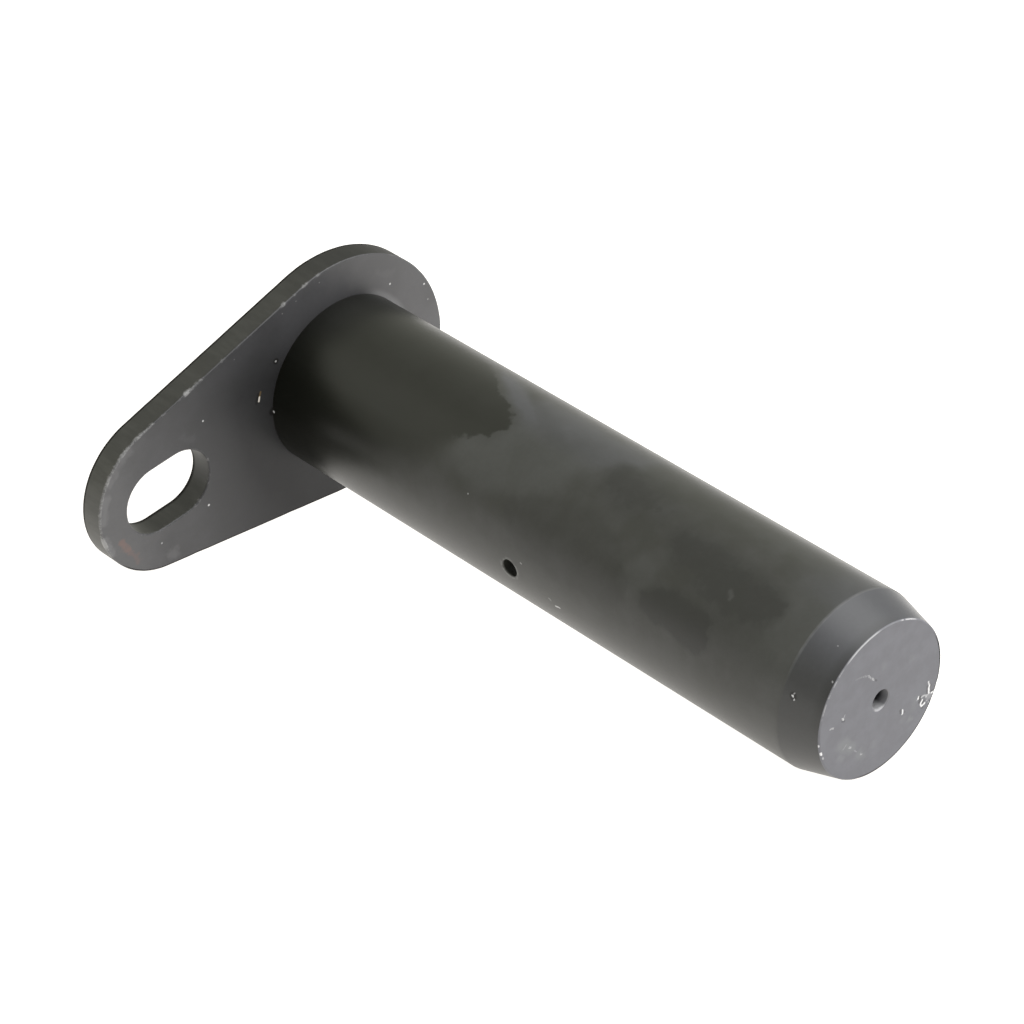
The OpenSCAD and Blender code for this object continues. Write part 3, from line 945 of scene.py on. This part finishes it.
def plate_material():
    t = Tree("plate_oxide")
    mid = t.noise(0.10, 4, 0.58, offset=(3, 17, 2))
    fine = t.noise(1.1, 3, 0.6, offset=(5, 50, 2))
    pw = t.vec("ADD", t.p, t.jitter(0.35, 4, 4.0))
    tone = t.mix(t.step(mid, 0.32, 0.70), FACE_A, FACE_B)
    # paler towards the small end
    tone = t.mix(t.mul(t.step(t.add(t.x, t.mul(mid, 6.0)), 54.0, 70.0), 0.8), tone, (0.098, 0.098, 0.100))
    # cut edges carry a darker, olive oxide, paler round the small end
    edge = t.mul(t.step(t.z, -0.12, -0.42), t.step(t.z, -5.95, -5.75))
    streak = t.noise(0.55, 3, 0.6, at=t.vec("MULTIPLY", t.p, (1, 1, 0.22)))
    cut = t.scale(t.mix(t.step(streak, 0.3, 0.72), EDGE_A, EDGE_B), t.add(t.step(t.x, 10.0, -8.0, 1.0, 0.45), t.step(t.x, 54.0, 66.0, 0.0, 0.7)))
    tone = t.mix(edge, tone, cut)
    # painted shade round the foot of the shaft, wider towards the flag beside it
    rad = t.radius()
    front = t.step(t.z, -0.9, -0.3)
    flagward = t.step(t.add(t.x, t.mul(t.high(t.y, 0.0), 0.5)), 4.0, 24.0)
    spread = t.add(t.mul(t.step(rad, 36.0, 18.0), 0.45), t.mul(t.step(t.add(t.x, t.mul(t.y, 0.14)), 55.0, 23.0), flagward))
    shade_round_foot = t.mul(t.math("MINIMUM", t.mul(spread, t.add(0.66, t.mul(mid, 0.5))), 1.0), t.mul(t.step(t.x, -8.0, 8.0), front))
    shade_round_foot = t.mul(shade_round_foot, t.step(t.y, -25.0, -10.0, 0.34, 1.0))
    tone = t.mix(t.mul(shade_round_foot, 0.72), tone, (0.016, 0.0163, 0.0168))
    # painted highlight: a thin pale line round the far side of the shaft's foot; and a little paler beyond it
    ptheta = t.math("ARCTAN2", t.y, t.x)
    tone = t.mix(t.mul(t.mul(t.arc(ptheta, -150, 34, 0.7), t.step(rad, 21.9, 20.1)), t.mul(front, 0.65)), tone, (0.19, 0.19, 0.195))
    tone = t.scale(tone, t.add(1.0, t.mul(t.mul(t.step(t.x, -8.0, -22.0), front), 0.16)))
    tone = t.scale(tone, t.add(0.82, t.add(t.mul(mid, 0.20), t.mul(fine, 0.16))))
    # rust smear and pale scuffs on the small end
    rust = t.high(t.dab((64.4, 4.9, 0), (62.9, 8.0, 0), 1.3, 0.8, at=pw), t.mul(t.dab((62.6, 8.4, 0), (60.8, 12.2, 0), 1.1, 0.9, at=pw), 0.55))
    tone = t.mix(t.mul(rust, 0.62), tone, (0.175, 0.105, 0.088))
    scuff = t.most([t.mul(t.dab(a, b, r, 0.9, at=pw), k) for a, b, r, k in (
        ((51.8, 16.2, 0), (52.6, 15.6, 0), 2.0, 0.25), ((68.4, 2.0, 0), (67.4, 6.4, 0), 1.8, 0.45), ((66.0, -8.6, 0), (67.4, -3.0, 0), 1.8, 0.30),
        ((57.5, -16.2, 0), (64.0, -11.4, 0), 1.6, 0.26), ((44.0, -11.4, 0), (41.6, -9.4, 0), 1.4, 0.06), ((-18.0, -18.4, 0), (-14.6, -20.4, 0), 1.6, 0.06))])
    tone = t.mix(t.mul(scuff, front), tone, (0.20, 0.20, 0.205))
    # bare specks, two of them in a dark pit, the orange splinter and the rubbed corner
    pits = t.most([t.dab((16.5, -15.0, 0), (16.5, -15.0, 0), 0.95, 0.5), t.dab((19.8, -3.1, 0), (19.8, -3.1, 0), 1.3, 0.5), t.mul(t.dab((22.6, -9.6, 0), (23.5, -7.8, 0), 0.6, 0.6), 0.6)])
    tone = t.mix(t.mul(pits, 0.85), tone, BLACK)
    specks = t.most([t.mul(t.dab((x, y, 0), (x, y, 0), r * 0.84, 0.65), k * 0.85) for x, y, r, k in
                     ((-17.1, -15.8, 0.42, 0.8), (-26.4, -10.2, 0.40, 0.9), (-26.8, -5.7, 0.34, 0.3), (16.55, -15.0, 0.42, 0.7),
                      (37.9, -12.0, 0.38, 0.8), (40.8, 9.8, 0.46, 0.9), (54.5, 11.5, 0.38, 0.45), (1.6, -27.4, 0.30, 0.2), (12.6, -25.6, 0.26, 0.25),
                      (27.0, -22.0, 0.26, 0.15), (8.5, -26.5, 0.26, 0.2))])
    tone = t.mix(specks, tone, (0.85, 0.85, 0.85))
    tone = t.mix(t.dab((21.96, -9.88, 0), (22.5, -8.8, 0), 0.30, 0.5), tone, (0.12, 0.085, 0.045))
    tone = t.mix(t.dab((22.50, -8.75, 0), (22.84, -7.85, 0), 0.30, 0.5), tone, (0.66, 0.62, 0.56))
    grit = t.noise(1.7, 4, 0.68, offset=(8, 3, 1))
    wear_and_edge_highlight = t.mul(t.step(t.add(t.mul(t.mask("rub"), 1.1), grit), 0.78, 1.35), t.step(t.z, -1.4, -0.7))
    tone = t.mix(t.mul(wear_and_edge_highlight, 0.9), tone, (0.29, 0.29, 0.285))
    # painted shade: black along the lowest corners as a contact shadow, and along the back corner
    painted_shade = t.step(t.mask("painted_shade"), 0.45, 0.95)
    tone = t.mix(t.mul(painted_shade, 0.9), tone, BLACK)
    rough = t.add(0.34, t.add(t.mul(fine, 0.08), t.mul(mid, 0.06)))
    rough = t.add(rough, t.mul(edge, 0.05))
    # weaker gloss round the shaft's foot, where the painted shade sits, and on the big end's cut edge: painted shade in
    # the reflections
    gloss = t.mul(0.5, t.mul(t.sub(1.0, t.mul(shade_round_foot, 0.52)), t.sub(1.0, t.mul(painted_shade, 0.9))))
    gloss = t.mul(gloss, t.sub(1.0, t.mul(edge, t.add(t.step(t.x, 10.0, -22.0, 0.0, 0.55), t.step(t.x, -6.0, -22.0, 0.0, 0.35)))))
    drag = t.noise(1.6, 2, 0.55, at=t.vec("MULTIPLY", t.p, (1, 1, 0.10)))
    nrm = t.bump(t.noise(2.4, 2, 0.55), 0.35, 0.0000018)
    nrm = t.bump(t.mul(drag, edge), 0.4, 0.000012, nrm)
    return t.finish(tone, rough, nrm, gloss)


def weld_material():
    t = Tree("weld_oxide")
    mid = t.noise(0.25, 4, 0.55, offset=(3, 17, 2))
    fine = t.noise(1.4, 4, 0.6)
    tone = t.mix(t.step(mid, 0.32, 0.70), (0.022, 0.0222, 0.020), (0.046, 0.046, 0.046))
    tone = t.scale(tone, t.add(0.8, t.mul(fine, 0.4)))
    rough = t.add(0.34, t.mul(mid, 0.16))
    nrm = t.bump(t.noise(2.0, 4, 0.6), 0.35, 0.00002)
    return t.finish(tone, rough, nrm)


shaft_shape().build("pin_shaft_turned", [shaft_material(), end_material()], "pin_shaft", "shaft_steel")
plate_shape().build("flag_plate_cut", [plate_material()], "flag_plate", "plate_steel")
weld_shape().build("weld_bead_ring", [weld_material()], "weld_bead", "weld_steel")

# ---------------------------------------------------------------- floor, light and camera
FLOOR_TINT = (1.03, 1.0, 0.96, 1)
FLOOR_SPOT, FLOOR_FALL, FLOOR_LEVEL = (0.05, 0.14, 0.0), (0.05, 0.19), (1.70, 1.04)
FLOOR_LEFT = (0.105, 0.165, 0.77)
SIDE_LEVEL = (0.60, 1.10)
FRONT_DIR, FRONT_ANGLE, FRONT_DIM = (0.60, -0.75, 0.28), (30, 80), 0.60
BOX_DIR, BOX_ANGLE, BOX_LEVEL = (0.30, 0.30, 0.90), (18, 44), 2.5
# a dimmer and a brighter part of the left wall: direction, angles and change
LEFT_PARTS = (((-0.631, 0.238, 0.734), (4, 36), -0.30), ((-0.631, -0.628, 0.455), (6, 38), 0.38))
LEFT_TINT = (1.0, 1.0, 0.90)
floor_z = cad_lo.z - 0.00002
fm = bpy.data.meshes.new("floor")
fm.from_pydata([(-6, -6, floor_z), (6, -6, floor_z), (6, 6, floor_z), (-6, 6, floor_z)], [], [(0, 1, 2, 3)])
floor = bpy.data.objects.new("floor", fm)
bpy.context.scene.collection.objects.link(floor)
# a lit white table, brighter under the overhead soft box
fmat = bpy.data.materials.new("pale_floor")
fmat.use_nodes = True
fn, fl = fmat.node_tree.nodes, fmat.node_tree.links
fb = fn["Principled BSDF"]
fb.inputs["Base Color"].default_value = (0.20, 0.20, 0.20, 1)
fb.inputs["Roughness"].default_value = 0.9
fb.inputs["Specular IOR Level"].default_value = 0.0
fb.inputs["Emission Color"].default_value = FLOOR_TINT
ftc = fn.new("ShaderNodeTexCoord")
fd = fn.new("ShaderNodeVectorMath")
fd.operation = "DISTANCE"
fd.inputs[1].default_value = FLOOR_SPOT
fl.new(ftc.outputs["Object"], fd.inputs[0])
fr = fn.new("ShaderNodeMapRange")
fr.interpolation_type = "SMOOTHSTEP"
for key, v in (("From Min", FLOOR_FALL[0]), ("From Max", FLOOR_FALL[1]), ("To Min", FLOOR_LEVEL[0]), ("To Max", FLOOR_LEVEL[1])):
    fr.inputs[key].default_value = v
fl.new(fd.outputs["Value"], fr.inputs["Value"])
# painted shade: the floor's glow is dimmer on the left
fw = fn.new("ShaderNodeVectorMath")
fw.operation = "DOT_PRODUCT"
fw.inputs[1].default_value = (-0.687, -0.727, 0.0)
fl.new(ftc.outputs["Object"], fw.inputs[0])
fs = fn.new("ShaderNodeMapRange")
fs.interpolation_type = "SMOOTHSTEP"
for key, v in (("From Min", FLOOR_LEFT[0]), ("From Max", FLOOR_LEFT[1]), ("To Min", 1.0), ("To Max", FLOOR_LEFT[2])):
    fs.inputs[key].default_value = v
fl.new(fw.outputs["Value"], fs.inputs["Value"])
fx = fn.new("ShaderNodeMath")
fx.operation = "MULTIPLY"
fl.new(fr.outputs[0], fx.inputs[0])
fl.new(fs.outputs[0], fx.inputs[1])
fl.new(fx.outputs[0], fb.inputs["Emission Strength"])
fm.materials.append(fmat)

# soft white surround: dimmer on the left, with a wide soft box overhead
world = bpy.data.worlds.new("studio")
world.use_nodes = True
wn, wl = world.node_tree.nodes, world.node_tree.links
bg = wn["Background"]
bg.inputs[0].default_value = (1, 1, 1, 1)
wtc = wn.new("ShaderNodeTexCoord")
wsep = wn.new("ShaderNodeSeparateXYZ")
wl.new(wtc.outputs["Generated"], wsep.inputs[0])
side = wn.new("ShaderNodeMapRange")
side.interpolation_type = "SMOOTHSTEP"
for key, v in (("From Min", -0.75), ("From Max", 0.45), ("To Min", SIDE_LEVEL[0]), ("To Max", SIDE_LEVEL[1])):
    side.inputs[key].default_value = v
wl.new(wsep.outputs[0], side.inputs["Value"])
dot = wn.new("ShaderNodeVectorMath")
dot.operation = "DOT_PRODUCT"
dot.inputs[1].default_value = Vector(BOX_DIR).normalized()
wl.new(wtc.outputs["Generated"], dot.inputs[0])
box = wn.new("ShaderNodeMapRange")
box.interpolation_type = "SMOOTHSTEP"
for key, v in (("From Min", math.cos(math.radians(BOX_ANGLE[1]))), ("From Max", math.cos(math.radians(BOX_ANGLE[0]))), ("To Min", 0.0), ("To Max", BOX_LEVEL)):
    box.inputs[key].default_value = v
wl.new(dot.outputs["Value"], box.inputs["Value"])
# the open side of the tent, towards the front, gives less light
fdot = wn.new("ShaderNodeVectorMath")
fdot.operation = "DOT_PRODUCT"
fdot.inputs[1].default_value = Vector(FRONT_DIR).normalized()
wl.new(wtc.outputs["Generated"], fdot.inputs[0])
dim = wn.new("ShaderNodeMapRange")
dim.interpolation_type = "SMOOTHSTEP"
for key, v in (("From Min", math.cos(math.radians(FRONT_ANGLE[1]))), ("From Max", math.cos(math.radians(FRONT_ANGLE[0]))), ("To Min", 1.0), ("To Max", 1.0 - FRONT_DIM)):
    dim.inputs[key].default_value = v
wl.new(fdot.outputs["Value"], dim.inputs["Value"])
dimmed = wn.new("ShaderNodeMath")
dimmed.operation = "MULTIPLY"
wl.new(side.outputs[0], dimmed.inputs[0])
wl.new(dim.outputs[0], dimmed.inputs[1])
both = wn.new("ShaderNodeMath")
both.operation = "ADD"
level = dimmed.outputs[0]
for direction, (near, far), change in LEFT_PARTS:
    pd = wn.new("ShaderNodeVectorMath")
    pd.operation = "DOT_PRODUCT"
    pd.inputs[1].default_value = Vector(direction).normalized()
    wl.new(wtc.outputs["Generated"], pd.inputs[0])
    pr = wn.new("ShaderNodeMapRange")
    pr.interpolation_type = "SMOOTHSTEP"
    for key, v in (("From Min", math.cos(math.radians(far))), ("From Max", math.cos(math.radians(near))), ("To Min", 1.0), ("To Max", 1.0 + change)):
        pr.inputs[key].default_value = v
    wl.new(pd.outputs["Value"], pr.inputs["Value"])
    pm = wn.new("ShaderNodeMath")
    pm.operation = "MULTIPLY"
    wl.new(level, pm.inputs[0])
    wl.new(pr.outputs[0], pm.inputs[1])
    level = pm.outputs[0]
wl.new(level, both.inputs[0])
wl.new(box.outputs[0], both.inputs[1])
wl.new(both.outputs[0], bg.inputs[1])
tint = wn.new("ShaderNodeMix")
tint.data_type = "RGBA"
tint.inputs[6].default_value = (*LEFT_TINT, 1)
tint.inputs[7].default_value = (1, 1, 1, 1)
warm = wn.new("ShaderNodeMapRange")
warm.interpolation_type = "SMOOTHSTEP"
for key, v in (("From Min", -0.55), ("From Max", 0.0), ("To Min", 0.0), ("To Max", 1.0)):
    warm.inputs[key].default_value = v
wl.new(wsep.outputs[0], warm.inputs["Value"])
wl.new(warm.outputs[0], tint.inputs[0])
wl.new(tint.outputs[2], bg.inputs[0])
scene = bpy.context.scene
scene.world = world
scene.view_settings.view_transform = "Standard"
scene.view_settings.look = "None"

cam = bpy.data.cameras.new("camera")
cam.sensor_fit, cam.sensor_width, cam.lens = "HORIZONTAL", 36.0, 134.59
cam.clip_start, cam.clip_end = 0.01, 50.0
cam_ob = bpy.data.objects.new("camera", cam)
scene.collection.objects.link(cam_ob)
right = Vector((0.68655044, 0.72704155, 0.00768684)).normalized()
back = Vector((0.63148292, -0.60148731, 0.48932846)).normalized()
upv = back.cross(right).normalized()
right = upv.cross(back).normalized()
place = Matrix((right, upv, back)).transposed().to_4x4()
place.translation = Vector((0.56943822, -0.49029877, 0.38756411))
cam_ob.matrix_world = place
scene.camera = cam_ob

bpy.context.view_layer.update()
